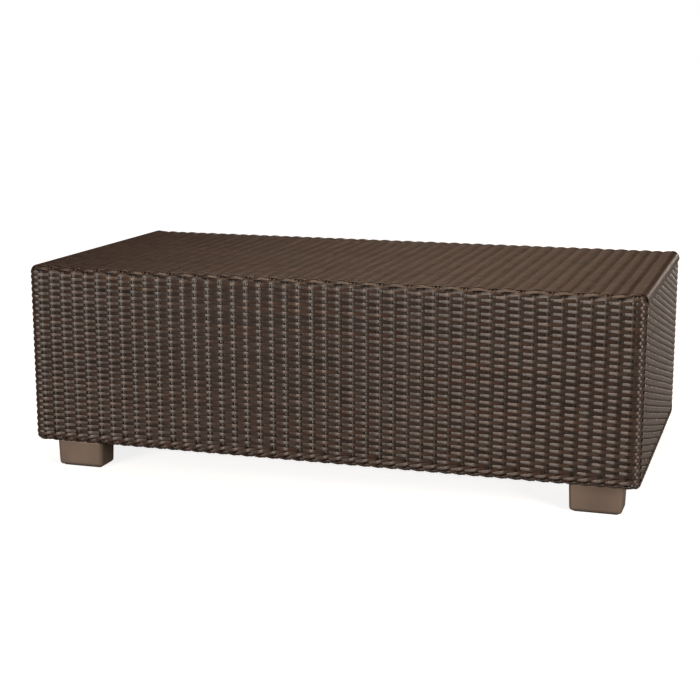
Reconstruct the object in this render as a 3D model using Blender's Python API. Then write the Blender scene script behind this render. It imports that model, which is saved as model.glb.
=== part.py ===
"""Low wicker coffee table: a welded tube frame under five woven skins, on four block feet.

Metres, +Z up.  The origin is on the floor under the table's centre, X runs along the
table's length and the front faces -Y.
"""
import math

import bmesh
import bpy
from mathutils import Vector

# Driving dimensions of the whole table
LENGTH = 1.220
DEPTH = 0.614
HEIGHT = 0.4175
WEAVE_UNDERSIDE = 0.0585        # floor to the lowest strand

# Woven skin
SKIN = 0.006                    # thickness of one plain weave
UNDER_WRAP = 0.003              # thickness of the strands turned under the bottom rails
EDGE_RADIUS = 0.015             # outer rounding of every edge of the woven body
EDGE_STEPS = 3
BORDER_HEIGHT = 0.020           # height of the border along the bottom rails
BORDER_RETURN = 0.025           # how far the border turns in under the table

# Frame tubes
RAIL_RADIUS = 0.0125
STRUT_RADIUS = 0.0095
TUBE_WALL = 0.0015
TUBE_SIDES = 16
STRUT_SPACING = 0.305           # pitch of the uprights and braces along X
POST_TOP_INSET = 0.015          # the posts stop this far below the top
POST_BOTTOM_INSET = 0.012       # and start this far above the weave's underside

# Feet, measured from the woven body's outer faces
FOOT_INSET_X = 0.0333
FOOT_INSET_Y = 0.0328
FOOT_WIDTH = 0.102
FOOT_DEPTH = 0.061
FOOT_TAPER = 0.002              # each side leans in this much towards the floor
FOOT_CORNER = 0.009
FOOT_BOTTOM_ROUND = 0.007
FOOT_WALL = 0.004
FOOT_RIM = 0.009                # width of the turned-in bottom lip, from the outer face
GLIDE_STANDOFF = 0.002          # the glide holds the foot this far off the floor
GLIDE_DEPTH = 0.008             # floor to the top of the glide's plug
GLIDE_BEARING = 0.0015          # how far the pad runs under the foot's lip
GLIDE_CHAMFER = 0.0005

# Foot plates and bolts
PLATE_THICK = 0.005
PLATE_INSET = 0.0292
PLATE_WIDTH = 0.112
PLATE_DEPTH = 0.066
PLATE_CORNER = 0.004
BOLT_SPACING = 0.050
BOLT_RADIUS = 0.004
BOLT_HOLE_RADIUS = 0.0045
BOLT_FLANGE_RADIUS = 0.0085
BOLT_FLANGE_THICK = 0.0015
BOLT_HEAD_ACROSS_FLATS = 0.013
BOLT_HEAD_HEIGHT = 0.0055
BOLT_END_PROUD = 0.006          # length of shank above the plate
BOLT_SIDES = 12                 # flat strips round a bolt

GAP = 0.0003                    # clearance between neighbouring solids
CUT_MARGIN = 0.010              # how far cutters run past the shapes they cut
WEDGE_DEPTH = 0.040             # how far the mitred slabs reach in from the outer faces
CORNER_STEPS = 3                # flat strips round a foot's corner
PLATE_CORNER_STEPS = 2
FOOT_ROUND_STEPS = 3            # flat strips round a foot's bottom edge
SHARP_ANGLE = math.radians(32)  # edges turning more than this are shaded sharp

# Derived places
HALF_X = LENGTH / 2
HALF_Y = DEPTH / 2
RAIL_X = HALF_X - SKIN - GAP - RAIL_RADIUS
RAIL_Y = HALF_Y - SKIN - GAP - RAIL_RADIUS
TOP_RAIL_Z = HEIGHT - SKIN - GAP - RAIL_RADIUS
BOTTOM_RAIL_Z = WEAVE_UNDERSIDE + UNDER_WRAP + GAP + RAIL_RADIUS
BRACE_Z = HEIGHT - SKIN - GAP - STRUT_RADIUS
FOOT_TOP = WEAVE_UNDERSIDE + UNDER_WRAP
FOOT_X = HALF_X - FOOT_INSET_X - FOOT_WIDTH / 2
FOOT_Y = HALF_Y - FOOT_INSET_Y - FOOT_DEPTH / 2
BORDER_TOP = WEAVE_UNDERSIDE + BORDER_HEIGHT

CORNERS = {
    "front_left": (-1, -1),
    "front_right": (1, -1),
    "back_left": (-1, 1),
    "back_right": (1, 1),
}
STRUT_PLACES = (-STRUT_SPACING, 0.0, STRUT_SPACING)


def clear_scene():
    for old in list(bpy.data.objects):
        bpy.data.objects.remove(old, do_unlink=True)


def make_material(name, colour, roughness, metallic):
    material = bpy.data.materials.new(name)
    material.use_nodes = True
    shader = material.node_tree.nodes["Principled BSDF"]
    shader.inputs["Base Color"].default_value = (*colour, 1.0)
    shader.inputs["Roughness"].default_value = roughness
    shader.inputs["Metallic"].default_value = metallic
    return material


def add_object(name, bm, material):
    """Turn a bmesh into a named object with outward faces and one material."""
    bmesh.ops.recalc_face_normals(bm, faces=bm.faces)
    mesh = bpy.data.meshes.new(name)
    bm.to_mesh(mesh)
    bm.free()
    mesh.shade_smooth()
    mesh.set_sharp_from_angle(angle=SHARP_ANGLE)
    mesh.materials.append(material)
    obj = bpy.data.objects.new(name, mesh)
    bpy.context.scene.collection.objects.link(obj)
    return obj


def hide_cutter(obj):
    obj.hide_render = True
    obj.display_type = "WIRE"


def add_boolean(obj, cutter, operation):
    modifier = obj.modifiers.new(operation.lower() + "_" + cutter.name, "BOOLEAN")
    modifier.object = cutter
    modifier.operation = operation
    modifier.solver = "EXACT"


def bridge_rings(bm, rings, wrap):
    """Join equal rings of points with quads; wrap joins the last ring to the first,
    otherwise the first and last rings are capped."""
    loops = [[bm.verts.new(point) for point in ring] for ring in rings]
    count = len(loops[0])
    pairs = list(zip(loops, loops[1:]))
    if wrap:
        pairs.append((loops[-1], loops[0]))
    for low, high in pairs:
        for i in range(count):
            j = (i + 1) % count
            bm.faces.new((low[i], low[j], high[j], high[i]))
    if not wrap:
        bm.faces.new(list(reversed(loops[0])))
        bm.faces.new(loops[-1])


# ---------------------------------------------------------------- frame tubes

def square_end(offset):
    """Hold-back of a tube end cut square."""
    return 0.0


def saddle_hold(side, lift=0.0):
    """Hold-back of a tube end fitted to a rail or post that crosses it; side is square to
    both axes and lift is how far the tube's axis misses the other's."""
    reach = RAIL_RADIUS + GAP
    return lambda offset: math.sqrt(reach ** 2 - (offset.dot(side) + lift) ** 2)


def corner_hold(inward):
    """Hold-back of a rail end fitted to a corner post, and mitred on its inner side against
    the rail that meets the same post."""
    saddle = saddle_hold(inward)
    return lambda offset: max(saddle(offset), offset.dot(inward) + GAP / math.sqrt(2))


def make_tube(name, start, end, radius, hold_start, hold_end, material):
    """Open round tube from start to end, each wall line held back by the end fittings."""
    start = Vector(start)
    end = Vector(end)
    along = (end - start).normalized()
    across = Vector((0, 0, 1)) if abs(along.z) < 0.5 else Vector((1, 0, 0))
    third = along.cross(across)

    def ring(centre, ring_radius, hold, direction):
        points = []
        for i in range(TUBE_SIDES):
            angle = 2 * math.pi * i / TUBE_SIDES
            offset = ring_radius * (math.cos(angle) * across + math.sin(angle) * third)
            points.append(centre + offset + direction * hold(offset) * along)
        return points

    inner = radius - TUBE_WALL
    rings = [
        ring(start, radius, hold_start, 1),
        ring(end, radius, hold_end, -1),
        ring(end, inner, hold_end, -1),
        ring(start, inner, hold_start, 1),
    ]
    bm = bmesh.new()
    bridge_rings(bm, rings, wrap=True)
    return add_object(name, bm, material)


def make_rails(material):
    for level, z in (("top", TOP_RAIL_Z), ("bottom", BOTTOM_RAIL_Z)):
        for side, sign in (("front", -1), ("back", 1)):
            hold = corner_hold(Vector((0, -sign, 0)))
            make_tube(f"{level}_rail_{side}", (-RAIL_X, sign * RAIL_Y, z),
                      (RAIL_X, sign * RAIL_Y, z), RAIL_RADIUS, hold, hold, material)
        for side, sign in (("left", -1), ("right", 1)):
            hold = corner_hold(Vector((-sign, 0, 0)))
            make_tube(f"{level}_rail_{side}", (sign * RAIL_X, -RAIL_Y, z),
                      (sign * RAIL_X, RAIL_Y, z), RAIL_RADIUS, hold, hold, material)


def make_posts(material):
    """Corner posts, their ends kept inside the rounded edges of the skin."""
    for corner, (sign_x, sign_y) in CORNERS.items():
        x = sign_x * RAIL_X
        y = sign_y * RAIL_Y
        make_tube(f"post_{corner}", (x, y, WEAVE_UNDERSIDE + POST_BOTTOM_INSET),
                  (x, y, HEIGHT - POST_TOP_INSET), RAIL_RADIUS, square_end, square_end,
                  material)


def make_uprights(material):
    for side, sign in (("front", -1), ("back", 1)):
        hold = saddle_hold(Vector((0, 1, 0)))
        for number, x in enumerate(STRUT_PLACES, start=1):
            make_tube(f"upright_{side}_{number}", (x, sign * RAIL_Y, BOTTOM_RAIL_Z),
                      (x, sign * RAIL_Y, TOP_RAIL_Z), STRUT_RADIUS, hold, hold, material)
    for side, sign in (("left", -1), ("right", 1)):
        hold = saddle_hold(Vector((1, 0, 0)))
        make_tube(f"upright_{side}_end", (sign * RAIL_X, 0, BOTTOM_RAIL_Z),
                  (sign * RAIL_X, 0, TOP_RAIL_Z), STRUT_RADIUS, hold, hold, material)


def make_braces(material):
    """Cross braces between the long top rails, flush with the rails' upper side."""
    hold = saddle_hold(Vector((0, 0, 1)), lift=BRACE_Z - TOP_RAIL_Z)
    for number, x in enumerate(STRUT_PLACES, start=1):
        make_tube(f"top_brace_{number}", (x, -RAIL_Y, BRACE_Z), (x, RAIL_Y, BRACE_Z),
                  STRUT_RADIUS, hold, hold, material)


# ---------------------------------------------------------------- woven skin

def rounded_block(name, half_x, half_y, low, high, radius, material):
    """Block with every edge rounded by the same radius."""
    bm = bmesh.new()
    bmesh.ops.create_cube(bm, size=1.0)
    centre_z = (low + high) / 2
    for vert in bm.verts:
        vert.co = Vector((vert.co.x * 2 * half_x, vert.co.y * 2 * half_y,
                          vert.co.z * (high - low) + centre_z))
    if radius > 0:
        bmesh.ops.bevel(bm, geom=list(bm.edges), offset=radius, offset_type="OFFSET",
                        segments=EDGE_STEPS, profile=0.5, affect="EDGES")
    return add_object(name, bm, material)


def frustum(name, outer, inner, material):
    """Solid between two rectangles given as four corner points each, in the same order."""
    bm = bmesh.new()
    bridge_rings(bm, [outer, inner], wrap=False)
    return add_object(name, bm, material)


def top_wedge():
    """Corner points of the mitred slab that holds the top skin."""
    half_gap = GAP / math.sqrt(2)
    rectangles = []
    for z, inset in ((HEIGHT + CUT_MARGIN, -CUT_MARGIN), (HEIGHT - WEDGE_DEPTH, WEDGE_DEPTH)):
        x = HALF_X - inset - half_gap
        y = HALF_Y - inset - half_gap
        rectangles.append([Vector((-x, -y, z)), Vector((x, -y, z)),
                           Vector((x, y, z)), Vector((-x, y, z))])
    return rectangles


def side_wedge(along, outward, half_length, half_reach, low, high, mitred_top):
    """Corner points of the mitred slab that holds one side's skin or border."""
    half_gap = GAP / math.sqrt(2)
    rectangles = []
    for inset in (-CUT_MARGIN, WEDGE_DEPTH):
        reach = half_length - inset - half_gap
        top = high - inset - half_gap if mitred_top else high
        face = outward * (half_reach - inset)
        rectangles.append([face - along * reach + Vector((0, 0, low)),
                           face + along * reach + Vector((0, 0, low)),
                           face + along * reach + Vector((0, 0, top)),
                           face - along * reach + Vector((0, 0, top))])
    return rectangles


def make_skins(material, border_material):
    """Five woven skins and the border below them, all cut from one thin rounded shell."""
    outer = rounded_block("shell_outside", HALF_X, HALF_Y, WEAVE_UNDERSIDE, HEIGHT,
                          EDGE_RADIUS, material)
    inner = rounded_block("shell_inside", HALF_X - SKIN, HALF_Y - SKIN,
                          WEAVE_UNDERSIDE + UNDER_WRAP, HEIGHT - SKIN,
                          EDGE_RADIUS - SKIN, material)
    opening = rounded_block("shell_opening", HALF_X - BORDER_RETURN,
                            HALF_Y - BORDER_RETURN, WEAVE_UNDERSIDE - CUT_MARGIN,
                            BORDER_TOP, 0, material)
    cutters = (outer, inner, opening)
    for cutter in cutters:
        hide_cutter(cutter)

    def cut_from_shell(piece):
        add_boolean(piece, outer, "INTERSECT")
        add_boolean(piece, inner, "DIFFERENCE")
        add_boolean(piece, opening, "DIFFERENCE")

    cut_from_shell(frustum("wicker_top", *top_wedge(), material))
    x_axis = Vector((1, 0, 0))
    y_axis = Vector((0, 1, 0))
    sides = {
        "front": (x_axis, -y_axis, HALF_X, HALF_Y),
        "back": (-x_axis, y_axis, HALF_X, HALF_Y),
        "left_end": (-y_axis, -x_axis, HALF_Y, HALF_X),
        "right_end": (y_axis, x_axis, HALF_Y, HALF_X),
    }
    for side, frame in sides.items():
        panel = side_wedge(*frame, BORDER_TOP + GAP / 2, HEIGHT, True)
        cut_from_shell(frustum(f"wicker_{side}", *panel, material))
        border = side_wedge(*frame, WEAVE_UNDERSIDE - CUT_MARGIN, BORDER_TOP - GAP / 2, False)
        cut_from_shell(frustum(f"border_{side}", *border, border_material))


# ---------------------------------------------------------------- feet

def rounded_rectangle(centre, half_x, half_y, radius, z, steps=CORNER_STEPS):
    """Points of a rounded rectangle at height z, counter-clockwise from above."""
    points = []
    quarters = ((1, 1, 0), (-1, 1, 1), (-1, -1, 2), (1, -1, 3))
    for sign_x, sign_y, quarter in quarters:
        for i in range(steps + 1):
            angle = (quarter + i / steps) * math.pi / 2
            points.append(Vector((
                centre[0] + sign_x * (half_x - radius) + radius * math.cos(angle),
                centre[1] + sign_y * (half_y - radius) + radius * math.sin(angle),
                z)))
    return points


def make_round_cutter(name, centre, radius, low, high, material):
    bm = bmesh.new()
    rings = []
    for z in (low, high):
        rings.append([Vector((centre[0] + radius * math.cos(2 * math.pi * i / TUBE_SIDES),
                              centre[1] + radius * math.sin(2 * math.pi * i / TUBE_SIDES), z))
                      for i in range(TUBE_SIDES)])
    bridge_rings(bm, rings, wrap=False)
    cutter = add_object(name, bm, material)
    hide_cutter(cutter)
    return cutter


def make_foot(corner, centre, material):
    """Hollow tapered block, open below, its bottom edge rounded and turned in."""
    top_x = FOOT_WIDTH / 2
    top_y = FOOT_DEPTH / 2
    low_x = top_x - FOOT_TAPER
    low_y = top_y - FOOT_TAPER
    round_top = GLIDE_STANDOFF + FOOT_BOTTOM_ROUND
    rings = [rounded_rectangle(centre, top_x, top_y, FOOT_CORNER, FOOT_TOP)]
    for i in range(FOOT_ROUND_STEPS + 1):
        angle = i / FOOT_ROUND_STEPS * math.pi / 2
        inset = FOOT_BOTTOM_ROUND * (1 - math.cos(angle))
        rings.append(rounded_rectangle(centre, low_x - inset, low_y - inset,
                                       FOOT_CORNER - inset,
                                       round_top - FOOT_BOTTOM_ROUND * math.sin(angle)))
    lip_x = low_x - FOOT_RIM
    lip_y = low_y - FOOT_RIM
    lip_corner = FOOT_CORNER - FOOT_BOTTOM_ROUND
    rings.append(rounded_rectangle(centre, lip_x, lip_y, lip_corner, GLIDE_STANDOFF))
    rings.append(rounded_rectangle(centre, lip_x, lip_y, lip_corner,
                                   GLIDE_STANDOFF + FOOT_WALL))
    inner_corner = FOOT_CORNER - FOOT_WALL
    rings.append(rounded_rectangle(centre, low_x - FOOT_WALL, low_y - FOOT_WALL, inner_corner,
                                   round_top + FOOT_WALL / 2))
    rings.append(rounded_rectangle(centre, top_x - FOOT_WALL, top_y - FOOT_WALL, inner_corner,
                                   FOOT_TOP - FOOT_WALL))
    bm = bmesh.new()
    bridge_rings(bm, rings, wrap=False)
    return add_object(f"foot_{corner}", bm, material)


def make_glide(corner, centre, material):
    """Plastic glide: a thin pad under the foot with a plug pressed into its mouth."""
    lip_x = FOOT_WIDTH / 2 - FOOT_TAPER - FOOT_RIM
    lip_y = FOOT_DEPTH / 2 - FOOT_TAPER - FOOT_RIM
    corner_radius = FOOT_CORNER - FOOT_BOTTOM_ROUND
    pad_top = GLIDE_STANDOFF - GAP
    pad = (lip_x + GLIDE_BEARING, lip_y + GLIDE_BEARING, corner_radius + GLIDE_BEARING)
    base = (pad[0] - GLIDE_CHAMFER, pad[1] - GLIDE_CHAMFER, pad[2] - GLIDE_CHAMFER)
    plug = (lip_x - GAP, lip_y - GAP, corner_radius - GAP)
    rings = [
        rounded_rectangle(centre, *base, 0.0),
        rounded_rectangle(centre, *pad, GLIDE_CHAMFER),
        rounded_rectangle(centre, *pad, pad_top),
        rounded_rectangle(centre, *plug, pad_top),
        rounded_rectangle(centre, *plug, GLIDE_DEPTH),
    ]
    bm = bmesh.new()
    bridge_rings(bm, rings, wrap=False)
    return add_object(f"foot_glide_{corner}", bm, material)


def make_plate(corner, signs, material):
    """Flat plate welded into the corner of the bottom frame, which the foot bolts to."""
    x = signs[0] * (HALF_X - PLATE_INSET - PLATE_WIDTH / 2)
    y = signs[1] * (HALF_Y - PLATE_INSET - PLATE_DEPTH / 2)
    low = FOOT_TOP + GAP
    rings = [rounded_rectangle((x, y), PLATE_WIDTH / 2, PLATE_DEPTH / 2, PLATE_CORNER, z,
                               PLATE_CORNER_STEPS)
             for z in (low, low + PLATE_THICK)]
    bm = bmesh.new()
    bridge_rings(bm, rings, wrap=False)
    return add_object(f"foot_plate_{corner}", bm, material)


def make_bolt(name, centre, material):
    """Flanged hexagon bolt, head down inside the foot and shank up through the plate."""
    flange_top = FOOT_TOP - FOOT_WALL - GAP
    flange_low = flange_top - BOLT_FLANGE_THICK
    head_low = flange_low - BOLT_HEAD_HEIGHT
    shank_top = FOOT_TOP + GAP + PLATE_THICK + BOLT_END_PROUD
    across_flats = BOLT_HEAD_ACROSS_FLATS / 2

    def ring(z, radius, hexagonal=False):
        points = []
        for i in range(BOLT_SIDES):
            angle = 2 * math.pi * i / BOLT_SIDES
            reach = radius
            if hexagonal and i % 2:
                reach = radius / math.cos(math.pi / 6)
            points.append(Vector((centre[0] + reach * math.cos(angle),
                                  centre[1] + reach * math.sin(angle), z)))
        return points

    rings = [
        ring(head_low, across_flats, True),
        ring(flange_low, across_flats, True),
        ring(flange_low, BOLT_FLANGE_RADIUS),
        ring(flange_top, BOLT_FLANGE_RADIUS),
        ring(flange_top, BOLT_RADIUS),
        ring(shank_top, BOLT_RADIUS),
    ]
    bm = bmesh.new()
    bridge_rings(bm, rings, wrap=False)
    return add_object(name, bm, material)


def make_feet(foot_material, plate_material, bolt_material, glide_material):
    for corner, signs in CORNERS.items():
        centre = (signs[0] * FOOT_X, signs[1] * FOOT_Y)
        foot = make_foot(corner, centre, foot_material)
        plate = make_plate(corner, signs, plate_material)
        make_glide(corner, centre, glide_material)
        for number, shift in ((1, -BOLT_SPACING / 2), (2, BOLT_SPACING / 2)):
            place = (centre[0] + shift, centre[1])
            make_bolt(f"foot_bolt_{corner}_{number}", place, bolt_material)
            cutter = make_round_cutter(f"cut_{corner}_{number}", place, BOLT_HOLE_RADIUS,
                                       FOOT_TOP - CUT_MARGIN, FOOT_TOP + CUT_MARGIN,
                                       bolt_material)
            add_boolean(foot, cutter, "DIFFERENCE")
            add_boolean(plate, cutter, "DIFFERENCE")


def main():
    clear_scene()
    wicker = make_material("resin_wicker", (0.085, 0.062, 0.050), 0.38, 0.0)
    border = make_material("resin_border", (0.070, 0.052, 0.043), 0.42, 0.0)
    frame = make_material("frame_paint", (0.060, 0.045, 0.036), 0.45, 0.6)
    steel = make_material("zinc_steel", (0.62, 0.62, 0.60), 0.35, 1.0)
    foot = make_material("foot_paint", (0.20, 0.155, 0.125), 0.40, 0.4)
    glide = make_material("glide_plastic", (0.02, 0.02, 0.02), 0.55, 0.0)
    make_rails(frame)
    make_posts(frame)
    make_uprights(frame)
    make_braces(frame)
    make_skins(wicker, border)
    make_feet(foot, frame, steel, glide)


main()
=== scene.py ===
"""Looks of the low wicker coffee table: woven resin strands, block feet, frame and studio.

Everything is in metres, +Z up, with the origin on the floor under the table's centre and the
front facing -Y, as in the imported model.
"""
import math

import bpy
import numpy as np
from mathutils import Matrix, Vector


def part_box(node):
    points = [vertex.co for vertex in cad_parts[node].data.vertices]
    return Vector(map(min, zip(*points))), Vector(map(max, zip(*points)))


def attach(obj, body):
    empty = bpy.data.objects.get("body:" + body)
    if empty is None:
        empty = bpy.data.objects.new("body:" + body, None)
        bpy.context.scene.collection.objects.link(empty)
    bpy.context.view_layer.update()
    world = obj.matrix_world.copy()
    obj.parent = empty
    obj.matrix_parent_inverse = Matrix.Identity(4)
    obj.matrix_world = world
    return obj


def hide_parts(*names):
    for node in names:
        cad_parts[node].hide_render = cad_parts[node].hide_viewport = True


bl_info = {
    "name": "Wicker coffee table",
    "version": (1, 0, 0),
    "blender": (4, 5, 0),
    "location": "View3D > Sidebar > Wicker Table",
    "description": "Builds the woven skin, feet, frame finish and studio of a coffee table",
    "category": "Add Mesh",
}

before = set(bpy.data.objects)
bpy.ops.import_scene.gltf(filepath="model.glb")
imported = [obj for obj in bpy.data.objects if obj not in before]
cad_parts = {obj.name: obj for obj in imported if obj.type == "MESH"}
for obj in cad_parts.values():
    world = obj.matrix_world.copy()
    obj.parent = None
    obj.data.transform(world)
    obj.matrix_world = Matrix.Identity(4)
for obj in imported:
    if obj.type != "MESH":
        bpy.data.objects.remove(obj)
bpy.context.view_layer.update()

SIDES = ("front", "right", "back", "left")
SIDE_SKINS = ("wicker_front", "wicker_right_end", "wicker_back", "wicker_left_end")
BORDERS = ("border_front", "border_right_end", "border_back", "border_left_end")
CORNERS = ("front_left", "front_right", "back_left", "back_right")
QUARTER = math.pi / 2
RAIL_CLEARANCE = 0.0003         # between the skin and the rails
BORDER_ROOM = 0.0011            # kept below the uprights for the border's strands
CROWDING_FALL = 0.55            # share of the crowding left one pair further from a corner

# A weaver lies level over a pair to just inside each upright and is bent just outside it
LEVEL_INSIDE = 0.0012
BENT_OUTSIDE = 0.0016
BEND_TURN = 0.5                 # how steep it is there, against the straight part
WEAVER_RIPPLE = 0.00007
STAKE_RIPPLE = 0.00012
STAKE_JITTER = 0.00015          # how far an upright stands from its place
CORNER_STATIONS = 9

# Whole number of each group's first strand, which sets its share of the marbling
FIRST_IDS = {"side": 0, "top": 200, "long": 400, "right": 600, "left": 700, "border": 800,
             "wrap": 810}

# Stations past the last row: the top strands' ends past the edge and how far they turn in
END_REACH = np.array([0.0015, 0.0030, 0.0045, 0.0060])
END_SINK = np.array([0.0003, 0.0010, 0.0022, 0.0038])
# the uprights' tails under the bottom rails
TAIL_REACH = np.array([0.010, 0.006, 0.002, -0.003, -0.007, -0.011, -0.015])
# and the end uprights' heads on the top and how far they go down there
HEAD_REACH = np.array([0.000, 0.002, 0.005, 0.009])
HEAD_SINK = np.array([0.0004, 0.0014, 0.0028, 0.0034])

# Strand wound round the bottom rails
WRAP_STEPS = 14                 # stations in one turn
WRAP_CLEARANCE = 0.0001
WRAP_GAP = 0.0004               # between neighbouring turns
WRAP_SHORT = 0.030              # how much shorter it is than its rail

# Resin
MARBLING = 2.6                  # patches of tone along a metre of strand
MARBLING_SHIFT = 7.31           # how far one strand's patches are from the next one's
GRAIN_ALONG = 60                # grain cells along a metre of strand
GRAIN_ROUND = 34                # and once round it
GRAIN_TONES = (0.72, 1.28)      # darkest and lightest grain against the strand's colour
BATCH_TONES = (0.62, 1.42)      # darkest and lightest strand against the main colour
STAKE_SHADE = 0.5               # the uprights' colour against the weavers'
RESIN_GLOSS = (0.34, 0.51)      # roughness along the grain

# Feet
FOOT_TAPER = 0.002
FOOT_CORNER = 0.009
FOOT_ROUND = 0.007              # of the bottom edge
FOOT_WALL = 0.004
FOOT_RIM = 0.009                # of the flat the glide sits in
EASE_INSET = [0.0012, 0.0004, 0.0]      # stations of the eased top edge, inwards
EASE_DROP = np.array([0.0, 0.0003, 0.0012])     # and downwards
SHARP_ANGLE = math.radians(40)

# Soft lights: place, target, width, height, watts and colour
LIGHTS = {
    "key_left": ((-1.75, -4.3, 0.75), (0.0, 0.0, 0.22), 1.6, 1.5, 125, (1.0, 0.88, 0.78)),
    "overhead": ((0.0, -0.2, 2.2), (0.0, 0.0, 0.22), 1.6, 0.4, 30, (1.0, 0.72, 0.52)),
    "front_right": ((2.24, -1.45, 0.7), (0.6, 0.0, 0.2), 0.9, 0.9, 36, (1.0, 0.88, 0.78)),
    "back_right": ((1.28, 3.9, 0.62), (0.6, 0.0, 0.4), 0.5, 0.5, 15, (1.0, 0.84, 0.70)),
}

# Floor
FLOOR_SIZE = 60.0
FLOOR_BOUNCE = (0.16, 0.155, 0.15)      # its colour as the table is lit by it
GLOW_COLOUR = (1.0, 0.90, 0.80)
GLOW = 0.28                             # behind the table and beside its right end

# The woven body's outer size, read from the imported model
BODY_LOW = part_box("border_front")[0].z
BODY_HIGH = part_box("wicker_top")[1].z
HALF_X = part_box("wicker_right_end")[1].x
HALF_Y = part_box("wicker_back")[1].y
SKIN = BODY_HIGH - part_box("top_rail_front")[1].z - RAIL_CLEARANCE


# ------------ settings

def length_setting(name, description, metres):
    return bpy.props.FloatProperty(name=name, description=description, default=metres,
                                   unit="LENGTH")


def angle_setting(name, description, degrees):
    return bpy.props.FloatProperty(name=name, description=description,
                                   default=math.radians(degrees), subtype="ANGLE")


def colour_setting(name, description, colour):
    return bpy.props.FloatVectorProperty(name=name, description=description, size=3,
                                         default=colour, subtype="COLOR")


def count_setting(name, description, count):
    return bpy.props.IntProperty(name=name, description=description, default=count)


class WeaveSettings(bpy.types.PropertyGroup):
    """Sizes of the woven skin."""

    weaver_width: length_setting("Weaver width", "Width of the flat strands where they cross", 0.0064)
    weaver_spread: length_setting(
        "Weaver spread", "How much wider they are over and under a pair", 0.0010)
    weaver_thickness: length_setting("Weaver thickness", "Thickness of the flat strands", 0.0014)
    stake_width: length_setting("Stake width", "Width of one upright strand", 0.0042)
    stake_thickness: length_setting("Stake thickness", "Thickness of one upright strand", 0.0026)
    stake_spacing: length_setting("Stake spacing", "Between the two upright strands of a pair", 0.0075)
    stake_sway: length_setting("Stake sway", "How far the weavers push an upright in and out", 0.00035)
    long_pairs: count_setting("Pairs along the front", "Pairs of uprights on each long side", 46)
    end_pairs: count_setting("Pairs along an end", "Pairs of uprights on each end", 23)
    pair_inset: length_setting("First pair inset", "From the corner to the first pair's centre", 0.0245)
    pair_crowding: length_setting(
        "Pair crowding", "How much closer the pairs stand next to a corner", 0.0030)
    pair_shift: length_setting(
        "Pair shift", "How far all the pairs of the front stand to the right", 0.0023)
    pair_drift: length_setting("Pair drift", "How far the pairs stray along the front by hand", 0.0020)
    row_pitch: length_setting("Row pitch", "Between neighbouring weavers", 0.006325)
    side_rows: count_setting("Side rows", "Weavers that run round the four sides", 54)
    top_rows: count_setting("Top rows", "Weavers on the top, an odd number", 93)
    edge_radius: length_setting("Edge radius", "Bend radius of the strands' middle at the edges", 0.012)
    last_row_angle: angle_setting(
        "Last row angle", "How far over the top edge the last side row lies", 82)
    border_width: length_setting("Border strand width", "Width of the border's strands", 0.0068)
    border_high: length_setting(
        "Upper border row", "Where the border's upper row lies on the section", 0.0022)
    border_low: length_setting(
        "Lower border row", "Where the border's lower row lies on the section", -0.0076)
    border_swing: length_setting("Border swing", "How far a border strand rises and falls", 0.0028)
    border_depth: length_setting("Border depth", "How far a border strand goes out and in", 0.0021)


class FinishSettings(bpy.types.PropertyGroup):
    """Colours of the table."""

    resin_brown: colour_setting("Resin brown", "Main colour of the strands", (0.040, 0.0225, 0.0150))
    resin_taupe: colour_setting("Resin taupe", "Grey marbling of the strands", (0.042, 0.029, 0.023))
    resin_red: colour_setting("Resin red", "Reddish marbling of the strands", (0.045, 0.023, 0.016))
    resin_olive: colour_setting("Resin olive", "Olive marbling of the strands", (0.078, 0.044, 0.023))
    resin_dark: colour_setting("Resin dark", "Darkest marbling of the strands", (0.014, 0.009, 0.007))
    foot_taupe: colour_setting("Foot taupe", "Powder coat of the feet", (0.21, 0.165, 0.135))
    frame_brown: colour_setting("Frame brown", "Powder coat of the tube frame", (0.045, 0.032, 0.026))
    glide_black: colour_setting("Glide black", "Moulded plastic of the glides", (0.018, 0.018, 0.018))
    zinc: colour_setting("Zinc", "Plating of the bolts", (0.62, 0.62, 0.60))


class StudioSettings(bpy.types.PropertyGroup):
    """Camera and light."""

    lens: bpy.props.FloatProperty(
        name="Lens", description="Focal length in millimetres", default=76.36)
    camera_place: bpy.props.FloatVectorProperty(
        name="Camera place", description="Where the camera stands", size=3,
        default=(0.8779, -2.9073, 0.8484), subtype="TRANSLATION")
    camera_yaw: angle_setting("Camera yaw", "Turn to the left of straight ahead", 17.387)
    camera_pitch: angle_setting("Camera pitch", "Tilt below the horizon", 11.629)
    camera_roll: angle_setting("Camera roll", "Roll about the line of sight", -0.006)
    floor_grey: colour_setting("Floor", "Colour of the floor", (0.90, 0.90, 0.90))


# ------------ surfaces

def outward(quads, points):
    """Whether a closed surface faces outward: its volume, a sixth of the sum of each
    triangle's triple product, is not negative."""
    a, b, c, d = (points[quads[:, i]] for i in range(4))
    volume = np.einsum("ij,ij->", a, np.cross(b, c)) + np.einsum("ij,ij->", a, np.cross(c, d))
    return volume >= 0


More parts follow.
